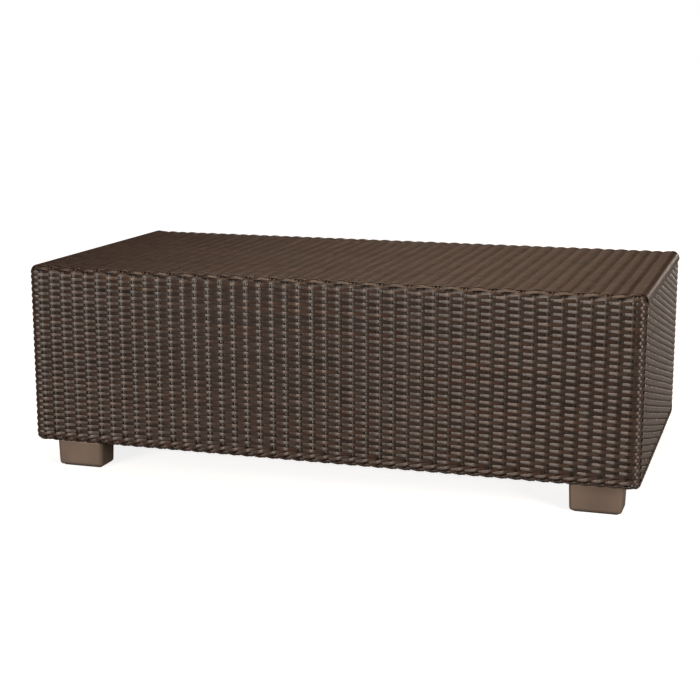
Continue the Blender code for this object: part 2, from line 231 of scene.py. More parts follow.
def strands_to_object(name, grid, lengths, closed, first_id=0):
    """One mesh object from an array of strands.

    grid has the shape (strands, stations, profile points, 3).  Neighbouring stations and
    neighbouring profile points are joined by quads, round the profile and, where closed is
    set, round the strand; open strands get a cap at each end.  The UV map holds the length
    along the strand in U, and in V the strand's whole number plus the share of the way
    round its profile.
    """
    count, stations, around, _ = grid.shape
    points = grid.reshape(-1, 3)
    index = np.arange(count * stations * around).reshape(count, stations, around)
    along = index if closed else index[:, :-1]
    after = np.roll(index, -1, axis=1) if closed else index[:, 1:]
    quads = np.stack([along, np.roll(along, -1, axis=2),
                      np.roll(after, -1, axis=2), after], axis=-1).reshape(-1, 4)

    spans = along.shape[1]
    start = lengths[:, :spans]
    if closed:
        step = lengths[:, 1:2] - lengths[:, 0:1]
        end = np.concatenate([lengths[:, 1:], lengths[:, -1:] + step], axis=1)
    else:
        end = lengths[:, 1:]
    share = np.arange(around + 1) / around * 0.96 + 0.02
    ids = np.arange(first_id, first_id + count)[:, None, None]
    u = np.stack([start, start, end, end], axis=-1)[:, :, None, :]
    v = ids[..., None] + np.stack([share[:-1], share[1:], share[1:], share[:-1]], axis=-1)
    uv = np.stack(np.broadcast_arrays(u, v), axis=-1).reshape(-1, 4, 2)

    caps = np.zeros((0, around), int)
    cap_uv = np.zeros((0, around, 2))
    if not closed:
        caps = np.concatenate([index[:, 0, ::-1], index[:, -1, :]])
        cap_v = np.broadcast_to(ids[:, :, 0] + share[:-1], (count, around))
        first = np.stack([np.broadcast_to(lengths[:, :1], cap_v.shape), cap_v[:, ::-1]], -1)
        last = np.stack([np.broadcast_to(lengths[:, -1:], cap_v.shape), cap_v], -1)
        cap_uv = np.concatenate([first, last])
    if not outward(quads, points):
        quads, uv = quads[:, ::-1], uv[:, ::-1]
        caps, cap_uv = caps[:, ::-1], cap_uv[:, ::-1]
    return mesh_object(name, points, quads, uv, caps, cap_uv)


def mesh_object(name, points, quads, uv, caps, cap_uv):
    """Mesh object at the origin from whole arrays of points, quads and cap polygons."""
    corners = np.concatenate([quads.ravel(), caps.ravel()])
    starts = np.concatenate([np.arange(len(quads)) * 4,
                             quads.size + np.arange(len(caps)) * caps.shape[1]])
    mesh = bpy.data.meshes.new(name)
    mesh.vertices.add(len(points))
    mesh.vertices.foreach_set("co", points.astype(np.float32).ravel())
    mesh.loops.add(len(corners))
    mesh.loops.foreach_set("vertex_index", corners.astype(np.int32))
    mesh.polygons.add(len(starts))
    mesh.polygons.foreach_set("loop_start", starts.astype(np.int32))
    layer = mesh.uv_layers.new(name="Strand")
    coords = np.concatenate([uv.reshape(-1, 2), cap_uv.reshape(-1, 2)])
    layer.data.foreach_set("uv", coords.astype(np.float32).ravel())
    mesh.update(calc_edges=True)
    mesh.shade_smooth()
    obj = bpy.data.objects.new(name, mesh)
    bpy.context.scene.collection.objects.link(obj)
    return obj


def unit(vectors):
    return vectors / np.linalg.norm(vectors, axis=-1, keepdims=True)


def flat_profile(width, thickness, around=8, squareness=0.55):
    """Outline of a strand: a superellipse, where each coordinate is its half size times the
    cosine or sine raised to the squareness, keeping the sign."""
    angle = 2 * np.pi * (np.arange(around) + 0.5 * (around % 4 == 0)) / around
    cosine, sine = np.cos(angle), np.sin(angle)
    side = width / 2 * np.sign(cosine) * np.abs(cosine) ** squareness
    out = thickness / 2 * np.sign(sine) * np.abs(sine) ** squareness
    return np.stack([side, out], axis=-1)


def ribbon_profile(width, thickness):
    """Outline of a flat strand: an octagon with a broad, slightly crowned face on each side,
    worked out from shares of its half width and half thickness."""
    side = np.array([1.0, 0.76, -0.76, -1.0])
    out = np.array([0.40, 1.0, 1.0, 0.40])
    shares = np.concatenate([np.stack([side, out], -1), np.stack([-side, -out], -1)])
    return shares * (width / 2, thickness / 2)


def sweep(centre, side, normal, profile, closed, spread=None):
    """Carry a profile along strands: at each station the profile's first axis is the side
    direction squared up to the path's tangent, and its second axis is square to both,
    on the same side as the given normal.  The spread, where given, stretches the profile
    sideways station by station."""
    if closed:
        tangent = np.roll(centre, -1, axis=1) - np.roll(centre, 1, axis=1)
    else:
        tangent = np.gradient(centre, axis=1)
    tangent = unit(tangent)
    side = np.broadcast_to(side, centre.shape)
    side = unit(side - np.sum(side * tangent, axis=-1, keepdims=True) * tangent)
    out = np.cross(side, tangent)
    out = out * np.sign(np.sum(out * normal, axis=-1, keepdims=True))
    if spread is not None:
        side = side * spread[..., None]
    return (centre[:, :, None, :] + side[:, :, None, :] * profile[:, 0:1]
            + out[:, :, None, :] * profile[:, 1:2])


def path_lengths(centre):
    """Length from each strand's start to each of its stations."""
    steps = np.linalg.norm(np.diff(centre, axis=1), axis=-1)
    return np.concatenate([np.zeros((len(centre), 1)), np.cumsum(steps, axis=1)], axis=1)


# ------------ the body's form

class Form:
    """The middle surface of the woven skin.

    A place on it has two coordinates: a distance round the body's plan, and a height v
    along the section, which runs up the face, over the rounded top edge and on across the
    top, and below zero turns under the rounded bottom edge.
    """

    def __init__(self, weave):
        self.radius = weave.edge_radius
        self.x = HALF_X - SKIN / 2
        self.y = HALF_Y - SKIN / 2
        self.top = BODY_HIGH - SKIN / 2
        self.bottom = BODY_LOW + weave.stake_thickness / 2 + BORDER_ROOM
        self.face = self.top - self.bottom - 2 * self.radius
        self.run_x = self.x - self.radius
        self.run_y = self.y - self.radius
        self.edge_arc = self.radius * QUARTER
        self.middle = self.face + self.edge_arc + self.run_y    # of the path over the top

    def section(self, v):
        """Inset from the face, height, and the normal's level and upward parts, at v."""
        v = np.asarray(v, float)
        over = np.clip((v - self.face) / self.radius, 0, QUARTER)
        under = np.clip(-v / self.radius, 0, QUARTER)
        turn = over - under
        flat = (np.maximum(0, v - self.face - self.edge_arc)
                + np.maximum(0, -v - self.edge_arc))
        inset = self.radius * (1 - np.cos(turn)) + flat
        height = (self.bottom + self.radius + np.clip(v, 0, self.face)
                  + self.radius * np.sin(turn))
        return inset, height, np.cos(turn), np.sin(turn)

    def plan(self, distance):
        """Centre line point and outward direction at a distance round the plan: four straight
        runs and, at each corner, a quarter turn about a fixed centre."""
        runs = [2 * self.run_x, self.edge_arc, 2 * self.run_y, self.edge_arc] * 2
        edges = np.concatenate([[0], np.cumsum(runs)])
        distance = np.asarray(distance, float) % edges[-1]
        part = np.clip(np.searchsorted(edges, distance, side="right") - 1, 0, 7)
        travelled = distance - edges[part]
        side = part // 2
        on_corner = part % 2 == 1
        heading = side * QUARTER + np.where(on_corner, travelled / self.radius, 0)
        starts = np.array([[-1, -1], [1, -1], [1, 1], [-1, 1]]) * (self.run_x, self.run_y)
        base = np.where(on_corner[:, None], starts[(side + 1) % 4], starts[side])
        straight = np.where(on_corner, 0, travelled)
        base = base + straight[:, None] * np.stack([np.cos(heading), np.sin(heading)], -1)
        normal = np.stack([np.sin(heading), -np.cos(heading)], -1)
        return base, normal

    def perimeter(self):
        return 4 * (self.run_x + self.run_y) + 4 * self.edge_arc

    def place(self, distance, v, offset):
        """Points and normals at plan distances and section heights, moved out by offset."""
        base, level = self.plan(distance)
        inset, height, level_part, up_part = self.section(v)
        normal = np.concatenate([level * level_part[..., None],
                                 np.broadcast_to(up_part[..., None], level_part.shape + (1,))],
                                axis=-1)
        reach = self.radius - inset
        point = np.concatenate([base + level * reach[..., None], height[..., None]], axis=-1)
        return point + normal * offset[..., None], normal


def spaced(reach, count, crowding):
    """Places from -reach to reach: equal steps, less a crowding that halves from one step to
    the next away from each end."""
    step = np.arange(count - 1)
    steps = -crowding * (CROWDING_FALL ** step + CROWDING_FALL ** step[::-1])
    steps += (2 * reach - steps.sum()) / (count - 1)
    return np.concatenate([[0], np.cumsum(steps)]) - reach


def pair_places(weave):
    """Centres of the pairs of uprights along X on the long sides and along Y on the ends.
    Along X they stray by half a wave and by a whole wave of the same size."""
    reach_x = HALF_X - weave.pair_inset
    along_x = spaced(reach_x, weave.long_pairs, weave.pair_crowding)
    turn = np.pi * (along_x + reach_x) / (2 * reach_x)
    along_x = along_x + weave.pair_shift - weave.pair_drift * (np.sin(turn) + np.sin(2 * turn))
    along_y = spaced(HALF_Y - weave.pair_inset, weave.end_pairs, weave.pair_crowding)
    return along_x, along_y


def mean_pitch(places):
    return (places[-1] - places[0]) / (len(places) - 1)


def pitch_shares(weave, pitch):
    """Shares of one pair pitch at which a weaver bends: it lies level over the pair, bends
    round the outer side of each upright and runs straight to the next pair."""
    level = (weave.stake_spacing / 2 - LEVEL_INSIDE) / pitch
    bent = (weave.stake_spacing / 2 + BENT_OUTSIDE) / pitch
    return np.array([level, bent, 0.5, 1 - bent, 1 - level])


def weave_wave(number, weave, pitch):
    """In and out of a weaver: 1 over even pairs and -1 under odd ones, level over each pair
    and straight between them, with one flatter step where it bends round an upright."""
    level, bent = pitch_shares(weave, pitch)[:2]
    whole = np.floor(number)
    share = number - whole
    turn = 1 - BEND_TURN * (bent - level) / (0.5 - (level + bent) / 2)
    height = np.interp(share, [0, level, bent, 1 - bent, 1 - level, 1],
                       [1, 1, turn, -turn, -1, -1])
    return height * (-1.0) ** whole


def ring_stations(form, weave, per_corner):
    """Plan distances of the stations round the body, and each station's pair number as a
    real number: whole at a pair's centre, and counting on round the body."""
    along_x, along_y = pair_places(weave)
    long_run = 2 * form.run_x + form.edge_arc
    end_run = 2 * form.run_y + form.edge_arc
    marks = np.concatenate([
        form.run_x + along_x,
        form.run_y + along_y + long_run,
        form.run_x - along_x[::-1] + long_run + end_run,
        form.run_y - along_y[::-1] + 2 * long_run + end_run,
    ])
    marks = np.append(marks, marks[0] + form.perimeter())
    pitch = mean_pitch(along_x)
    distance, number = [], []
    corners = np.cumsum([weave.long_pairs, weave.end_pairs] * 2) - 1
    for pair in range(len(marks) - 1):
        share = pitch_shares(weave, pitch)
        if pair in corners:
            inner = np.linspace(share[1], share[-2], per_corner)
            share = np.concatenate([share[:1], inner, share[-1:]])
        distance.append(marks[pair] + share * (marks[pair + 1] - marks[pair]))
        number.append(pair + share)
    return np.concatenate(distance), np.concatenate(number)


def row_heights(form, weave):
    """Section heights of the side rows, the last one at its angle over the top edge."""
    last = form.face + form.radius * weave.last_row_angle
    return last - weave.row_pitch * np.arange(weave.side_rows)[::-1]


def top_row_heights(form, weave, last):
    """Section heights of the top rows, evenly spaced from the front's last side row to the
    back's; past the middle they keep counting as if the front's section ran on."""
    pitch = 2 * (form.middle - last) / (weave.top_rows + 1)
    return last + pitch * np.arange(1, weave.top_rows + 1)


def ripple(rng, count, position, period, size, waves=(1, 2, 3, 5, 8)):
    """Small slow unevenness for each strand: a sum of sines with whole numbers of waves in
    the period, with random phases and falling size."""
    total = np.zeros((count, len(position)))
    for wave in waves:
        phase = rng.uniform(0, 2 * np.pi, (count, 1))
        weight = size / math.sqrt(wave) * rng.uniform(0.5, 1.0, (count, 1))
        total += weight * np.sin(2 * np.pi * wave * position / period + phase)
    return total


# ------------ materials

class Net:
    """A node tree in the making.  Each method adds one node, takes sockets or plain values
    and gives back the new node's output."""

    def __init__(self, tree, last):
        self.nodes = tree.nodes
        self.links = tree.links
        self.last = tree.nodes[last]

    def new(self, kind):
        return self.nodes.new("ShaderNode" + kind)

    def fill(self, sockets):
        """Link or set sockets of the last node, by name."""
        for name, value in sockets.items():
            self.feed(self.last.inputs[name], value)

    def feed(self, socket, value):
        if isinstance(value, bpy.types.NodeSocket):
            self.links.new(value, socket)
        elif value is not None:
            socket.default_value = (*value, 1.0) if isinstance(value, tuple) else value

    def math(self, operation, first, second=None):
        node = self.new("Math")
        node.operation = operation
        self.feed(node.inputs[0], first)
        self.feed(node.inputs[1], second)
        return node.outputs[0]

    def vector(self, x, y, z):
        node = self.new("CombineXYZ")
        for socket, value in zip(node.inputs, (x, y, z)):
            self.feed(socket, value)
        return node.outputs[0]

    def split(self, vector):
        node = self.new("SeparateXYZ")
        self.feed(node.inputs[0], vector)
        return node.outputs

    def noise(self, vector, scale, detail, roughness=0.5):
        node = self.new("TexNoise")
        self.feed(node.inputs["Vector"], vector)
        self.feed(node.inputs["Scale"], scale)
        self.feed(node.inputs["Detail"], detail)
        self.feed(node.inputs["Roughness"], roughness)
        return node.outputs["Fac"]

    def ramp(self, value, stops):
        node = self.new("ValToRGB")
        self.feed(node.inputs[0], value)
        ramp = node.color_ramp
        while len(ramp.elements) < len(stops):
            ramp.elements.new(0.5)
        for element, (position, colour) in zip(ramp.elements, stops):
            element.position = position
            element.color = (*colour, 1.0)
        return node.outputs["Color"]

    def range(self, value, low, high, start=0.0, stop=1.0):
        node = self.new("MapRange")
        for name, part in zip(("Value", "From Min", "From Max", "To Min", "To Max"),
                              (value, start, stop, low, high)):
            self.feed(node.inputs[name], part)
        return node.outputs["Result"]

    def mix(self, blend, factor, first, second):
        node = self.new("Mix")
        node.data_type = "RGBA"
        node.blend_type = blend
        for socket, value in zip((node.inputs["Factor"], node.inputs[6], node.inputs[7]),
                                 (factor, first, second)):
            self.feed(socket, value)
        return node.outputs[2]

    def bump(self, height, strength, distance):
        node = self.new("Bump")
        self.feed(node.inputs["Strength"], strength)
        self.feed(node.inputs["Distance"], distance)
        self.feed(node.inputs["Height"], height)
        return node.outputs["Normal"]


def new_material(name):
    material = bpy.data.materials.new(name)
    material.use_nodes = True
    return material, Net(material.node_tree, "Principled BSDF")


def resin_material(name, finish, shade):
    """Extruded resin strand: slow marbling along each strand, fine grain lines along it and
    a satin gloss broken by the grain.  The shade scales the colour."""
    material, net = new_material(name)
    uv = net.new("UVMap")
    uv.uv_map = "Strand"
    place = net.split(uv.outputs["UV"])
    length, crossing = place["X"], place["Y"]
    strand = net.math("FLOOR", crossing)
    shift = net.math("MULTIPLY", strand, MARBLING_SHIFT)
    tone = net.noise(net.vector(length, shift, 0), MARBLING, 3, 0.6)
    colour = net.ramp(tone, [
        (0.30, tuple(finish.resin_dark)), (0.42, tuple(finish.resin_brown)),
        (0.50, tuple(finish.resin_taupe)), (0.57, tuple(finish.resin_brown)),
        (0.64, tuple(finish.resin_red)), (0.74, tuple(finish.resin_olive)),
    ])
    grain_place = net.vector(net.math("MULTIPLY", length, GRAIN_ALONG),
                             net.math("MULTIPLY", crossing, GRAIN_ROUND), 0)
    grain = net.noise(grain_place, 1.0, 2)
    darkest, lightest = GRAIN_TONES
    lightness = net.range(grain, darkest * shade, lightest * shade)
    batch = net.new("TexWhiteNoise")
    batch.noise_dimensions = "1D"
    net.feed(batch.inputs["W"], strand)
    lightness = net.math("MULTIPLY", lightness,
                         net.range(batch.outputs["Value"], *BATCH_TONES))
    # the grain runs along the strand, so it spreads a highlight across it
    tangent = net.new("Tangent")
    tangent.direction_type = "UV_MAP"
    tangent.uv_map = "Strand"
    net.fill({
        "Base Color": net.mix("MULTIPLY", 1.0, colour,
                              net.vector(lightness, lightness, lightness)),
        "Roughness": net.range(grain, *RESIN_GLOSS),
        "Normal": net.bump(grain, strength=0.25, distance=0.0003),
        "Tangent": tangent.outputs["Tangent"],
        "Specular IOR Level": 0.75,
        "Anisotropic": 0.85,
        "Anisotropic Rotation": 0.25,
    })
    return material


def coated_material(name, colour, roughness, metallic):
    """Powder coat: a fine orange-peel skin over metal, a little uneven in gloss."""
    material, net = new_material(name)
    place = net.new("TexCoord").outputs["Object"]
    peel = net.noise(place, 900, 2)
    cloud = net.noise(place, 14, 3)
    dark = tuple(0.90 * c for c in colour)
    light = tuple(1.08 * c for c in colour)
    net.fill({
        "Base Color": net.ramp(cloud, [(0.35, dark), (0.65, light)]),
        "Roughness": net.range(cloud, roughness - 0.05, roughness + 0.07),
        "Metallic": metallic,
        "Normal": net.bump(peel, strength=0.12, distance=0.0002),
    })
    return material


def finish_node(node, material):
    """Give a CAD node its finished material in place of its plain one."""
    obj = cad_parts[node]
    obj.data.materials.clear()
    obj.data.materials.append(material)


def finish_piece(obj, material, nodes=()):
    """Material, body and slot of a finished piece; the CAD nodes it stands in for are hidden."""
    obj.data.materials.append(material)
    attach(obj, "root")
    if nodes:
        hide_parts(*nodes)


def get_resin(context, name="woven_resin", shade=1.0):
    """A material shared by many strands, made the first time it is asked for."""
    made = bpy.data.materials.get(name)
    return made or resin_material(name, context.scene.table_finish, shade)


def add_strand_groups(name, grid, lengths, closed, first, pieces, material, nodes):
    """Woven strands shared out over several objects, numbered from 1."""
    for part, chunk in enumerate(np.array_split(np.arange(len(grid)), pieces), 1):
        obj = strands_to_object(f"{name}_{part}", grid[chunk], lengths[chunk], closed,
                                first + chunk[0])
        finish_piece(obj, material, nodes)


def ring_grid(form, distance, v, offset, profile, spread=None):
    """Strands that run round the body, each through its own section heights and offsets."""
    centre = np.empty(v.shape + (3,))
    normal = np.empty_like(centre)
    for row in range(len(v)):
        centre[row], normal[row] = form.place(distance, v[row], offset[row])
    tangent = np.roll(centre, -1, axis=1) - np.roll(centre, 1, axis=1)
    side = unit(np.cross(tangent, normal))
    return sweep(centre, side, normal, profile, True, spread)


def upright_stations(form, heights, head):
    """Path heights and in-out signs of an upright's stations: its tail, every row, the places
    between rows on the rounded edges, and its head."""
    between = (heights[1:] + heights[:-1]) / 2
    near = np.minimum(between, 2 * form.middle - between)
    bent = between[(near < 0) | (near > form.face) & (near < form.face + form.edge_arc)]
    tail = -form.edge_arc - TAIL_REACH
    path = np.concatenate([tail, heights, bent, head])
    signs = (-1.0) ** np.arange(len(heights))
    sign = np.concatenate([0 * tail, signs, 0 * bent, 0 * head])
    order = np.argsort(path)
    return path[order], sign[order]


def upright_grid(form, weave, rng, along, centres, turns, path, sign, facing, period, low=0.0):
    """Pairs of uprights that follow the section, and their lengths.  The pairs stand at their
    centres on the axis given by along, on the face that looks the facing way on the other
    level axis; past the middle the path counts back down the section."""
    pair = np.repeat(np.arange(len(centres)), 2)
    shift = np.tile([-0.5, 0.5], len(centres)) * weave.stake_spacing
    places = centres[pair] + shift + rng.normal(0, STAKE_JITTER, len(pair))
    drift = ripple(rng, len(pair), path, period, STAKE_RIPPLE)
    offset = -weave.stake_sway * sign[None, :] * turns[pair][:, None] - low
    v = np.where(path > form.middle, 2 * form.middle - path, path)
    inset, height, level, up = form.section(v)
    across = 1 - along
    normal = np.zeros(v.shape + (3,))
    normal[:, across] = facing * level
    normal[:, 2] = up
    base = np.zeros_like(normal)
    base[:, across] = facing * ((form.x, form.y)[across] - inset)
    base[:, 2] = height
    centre = base[None] + normal[None] * offset[..., None]
    centre[..., along] = places[:, None] + drift
    profile = flat_profile(weave.stake_width, weave.stake_thickness, 6, 0.9)
    grid = sweep(centre, np.eye(3)[along], normal[None], profile, closed=False)
    return grid, path_lengths(centre)


# ------------ operators

class Step:
    """What every building step shares."""

    bl_options = {"REGISTER", "UNDO"}

    def execute(self, context):
        self.build(context)
        return {"FINISHED"}


class MakeSideWeavers(Step, bpy.types.Operator):
    """Flat strands that run round all four sides, over one pair of uprights and under the
    next, with every other row the other way about."""

    bl_idname = "table.side_weavers"
    bl_label = "Side weavers"

    pieces: count_setting("Pieces", "Objects to spread the rows over", 4)

    def build(self, context):
        weave = context.scene.table_weave
        form = Form(weave)
        distance, number = ring_stations(form, weave, CORNER_STATIONS)
        pitch = mean_pitch(pair_places(weave)[0])
        rows = row_heights(form, weave)
        rng = np.random.default_rng(11)
        drift = ripple(rng, len(rows), distance, form.perimeter(), WEAVER_RIPPLE)
        swing = (weave.stake_thickness + weave.weaver_thickness) / 2
        flip = (-1.0) ** np.arange(len(rows))
        wave = weave_wave(number, weave, pitch)
        offset = swing * flip[:, None] * wave[None, :]
        spread = 1 + weave.weaver_spread / weave.weaver_width * np.abs(wave)
        heights = rows[:, None] + drift
        profile = ribbon_profile(weave.weaver_width, weave.weaver_thickness)
        grid = ring_grid(form, distance, heights, offset, profile, spread[None, :])
        lengths = np.broadcast_to(distance, heights.shape)
        add_strand_groups("side_weavers", grid, lengths, True, FIRST_IDS["side"],
                          self.pieces, get_resin(context), SIDE_SKINS)


class MakeTopWeavers(Step, bpy.types.Operator):
    """Flat strands along the top, woven through the uprights that come over the front edge,
    with their ends bent over the end edges and tucked in behind the end rows."""

    bl_idname = "table.top_weavers"
    bl_label = "Top weavers"

    pieces: count_setting("Pieces", "Objects to spread the rows over", 2)

    def build(self, context):
        weave = context.scene.table_weave
        form = Form(weave)
        along_x, _ = pair_places(weave)
        pitch = mean_pitch(along_x)
        share = pitch_shares(weave, pitch)
        number = (np.arange(len(along_x) - 1)[:, None] + share).ravel()
        number = np.concatenate([[0], number, [len(along_x) - 1]])
        x = np.interp(number, np.arange(len(along_x)), along_x)
        last = row_heights(form, weave)[-1]
        rows = top_row_heights(form, weave, last)
        y = rows - form.middle
        swing = (weave.stake_thickness + weave.weaver_thickness) / 2
        flip = (-1.0) ** (np.arange(len(rows)) + weave.side_rows)
        wave = weave_wave(number, weave, pitch)
        middle = swing * flip[:, None] * wave[None, :]
        # each end comes over the rounded edge outside the last side rows, then turns in
        turn_down = form.edge_arc * np.linspace(0.0, 1.0, CORNER_STATIONS)
        over = form.run_x + np.concatenate([turn_down, form.edge_arc + END_REACH])
        lift = np.full(len(over), swing + weave.weaver_thickness)
        lift[-len(END_REACH):] -= END_SINK
        ends = np.broadcast_to(lift, (len(rows), len(over)))
        offset = np.concatenate([ends[:, ::-1], middle, ends], axis=1)
        spread = 1 + weave.weaver_spread / weave.weaver_width * np.abs(
            np.pad(wave, len(over), mode="edge"))
        run = np.concatenate([-over[::-1], x, over])
        v = form.face + form.edge_arc + form.run_x - np.abs(run)
        inset, height, level, up = form.section(v)
        facing = np.sign(run)
        flat = np.abs(run) <= form.run_x
        normal = np.stack([facing * level, np.zeros_like(run), up], axis=-1)
        normal[flat] = (0.0, 0.0, 1.0)
        rng = np.random.default_rng(23)
        drift = ripple(rng, len(rows), run, 2 * form.run_x, WEAVER_RIPPLE)
        centre = np.empty(offset.shape + (3,))
        centre[..., 0] = np.where(flat, run, facing * (form.x - inset))
        centre[..., 1] = y[:, None] + drift
        centre[..., 2] = height
        centre += normal[None] * offset[..., None]
        profile = ribbon_profile(weave.weaver_width, weave.weaver_thickness)
        grid = sweep(centre, np.array([0.0, 1.0, 0.0]), normal[None], profile, False,
                     spread[None, :])
        add_strand_groups("top_weavers", grid, path_lengths(centre), False, FIRST_IDS["top"],
                          self.pieces, get_resin(context), ["wicker_top"])


class MakeLongStakes(Step, bpy.types.Operator):
    """Pairs of uprights that come up the front, cross the top and go down the back, each
    pushed in and out a little by the weavers."""

    bl_idname = "table.long_stakes"
    bl_label = "Front, top and back uprights"

    pieces: count_setting("Pieces", "Objects to spread the pairs over", 2)

    def build(self, context):
        weave = context.scene.table_weave
        form = Form(weave)
        side_rows = row_heights(form, weave)
        top_rows = top_row_heights(form, weave, side_rows[-1])
        around = 2 * form.middle
        heights = np.concatenate([side_rows, top_rows, around - side_rows[::-1]])
        head = around + form.edge_arc + TAIL_REACH
        path, sign = upright_stations(form, heights, head)
        along_x, _ = pair_places(weave)
        turns = (-1.0) ** np.arange(len(along_x))
        facing = np.where(path > form.middle, 1.0, -1.0)
        grid, lengths = upright_grid(form, weave, np.random.default_rng(37), 0, along_x, turns,
                                     path, sign, facing, around)
        add_strand_groups("long_stakes", grid, lengths, False, FIRST_IDS["long"], self.pieces,
                          get_resin(context, "upright_resin", STAKE_SHADE),
                          SIDE_SKINS + ("wicker_top",))


class MakeEndStakes(Step, bpy.types.Operator):
    """Pairs of uprights on the two ends, bent over the top edge and tucked under the first
    pair that crosses the top."""

    bl_idname = "table.end_stakes"
    bl_label = "End uprights"

    def build(self, context):
        weave = context.scene.table_weave
        form = Form(weave)
        head = form.face + form.edge_arc + HEAD_REACH
        path, sign = upright_stations(form, row_heights(form, weave), head)
        low = np.concatenate([np.zeros(len(path) - len(head)), HEAD_SINK])
        _, along_y = pair_places(weave)
        rng = np.random.default_rng(41)
        material = get_resin(context, "upright_resin", STAKE_SHADE)
        for end, facing in (("right", 1.0), ("left", -1.0)):
            count = weave.long_pairs + np.arange(len(along_y))
            turns = (-1.0) ** (count if facing > 0 else count + 1)
            grid, lengths = upright_grid(form, weave, rng, 1, along_y, turns, path, sign,
                                         facing, form.face, low)
            obj = strands_to_object(f"end_stakes_{end}", grid, lengths, False, FIRST_IDS[end])
            finish_piece(obj, material, [f"wicker_{end}_end"])


class MakeBorder(Step, bpy.types.Operator):
    """Twined border: two rows round the bottom edge, each of two strands that cross between
    the pairs of uprights, one passing in front of a pair while the other passes behind."""

    bl_idname = "table.border"
    bl_label = "Border"

    def build(self, context):
        weave = context.scene.table_weave
        form = Form(weave)
        distance, number = ring_stations(form, weave, CORNER_STATIONS)
        lays = np.array([0, 1, 1, 2])
        levels = np.repeat([weave.border_high, weave.border_low], 2)
        phase = np.pi * (number[None, :] + lays[:, None])
        offset = weave.border_depth * np.cos(phase)
        v = levels[:, None] + weave.border_swing * np.sin(phase)
        profile = flat_profile(weave.border_width, weave.weaver_thickness, 8, 0.6)
        grid = ring_grid(form, distance, v, offset, profile)
        lengths = np.broadcast_to(distance, v.shape)
        obj = strands_to_object("twined_border", grid, lengths, True, FIRST_IDS["border"])
        finish_piece(obj, get_resin(context), BORDERS)


class MakeRailWrap(Step, bpy.types.Operator):
    """Flat strand wound round each bottom rail, turn against turn."""

    bl_idname = "table.rail_wrap"
    bl_label = "Rail wrap"

    def build(self, context):
        weave = context.scene.table_weave
        for first, side in enumerate(SIDES, FIRST_IDS["wrap"]):
            low, high = (np.array(c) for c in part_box(f"bottom_rail_{side}"))
            run = int(np.argmax(high - low))
            across = 1 - run
            middle = (low + high) / 2
            radius = (high[2] - low[2]) / 2 + weave.weaver_thickness / 2 + WRAP_CLEARANCE
            length = high[run] - low[run] - WRAP_SHORT
            turns = int(length / (weave.weaver_width + WRAP_GAP))
            turn = np.arange(turns * WRAP_STEPS + 1) / WRAP_STEPS
            angle = 2 * np.pi * turn
            centre = np.zeros((1, len(turn), 3))
            centre[0, :, run] = middle[run] - length / 2 + length * turn / turns
            centre[0, :, across] = middle[across] + radius * np.cos(angle)
            centre[0, :, 2] = middle[2] + radius * np.sin(angle)
            normal = np.zeros((1, len(turn), 3))
            normal[0, :, across] = np.cos(angle)
            normal[0, :, 2] = np.sin(angle)
            profile = flat_profile(weave.weaver_width, weave.weaver_thickness)
            grid = sweep(centre, np.eye(3)[run], normal, profile, closed=False)
            obj = strands_to_object(f"rail_wrap_{side}", grid, path_lengths(centre),
                                    closed=False, first_id=first)
            finish_piece(obj, get_resin(context))


def rounded_rings(half_x, half_y, corner, heights, steps=10):
    """Rounded rectangles at several heights: each corner is a quarter circle about a point
    one corner radius in from both sides.  Shape (rings, points, 3)."""
    angle = (np.arange(4)[:, None] * QUARTER + np.linspace(0, QUARTER, steps + 1)).ravel()
    sign_x = np.repeat([1, -1, -1, 1], steps + 1)
    sign_y = np.repeat([1, 1, -1, -1], steps + 1)
    half_x, half_y, corner, heights = (np.asarray(a, float)[:, None]
                                       for a in (half_x, half_y, corner, heights))
    x = sign_x * (half_x - corner) + corner * np.cos(angle)
    y = sign_y * (half_y - corner) + corner * np.sin(angle)
    return np.stack([x, y, np.broadcast_to(heights, x.shape)], axis=-1)


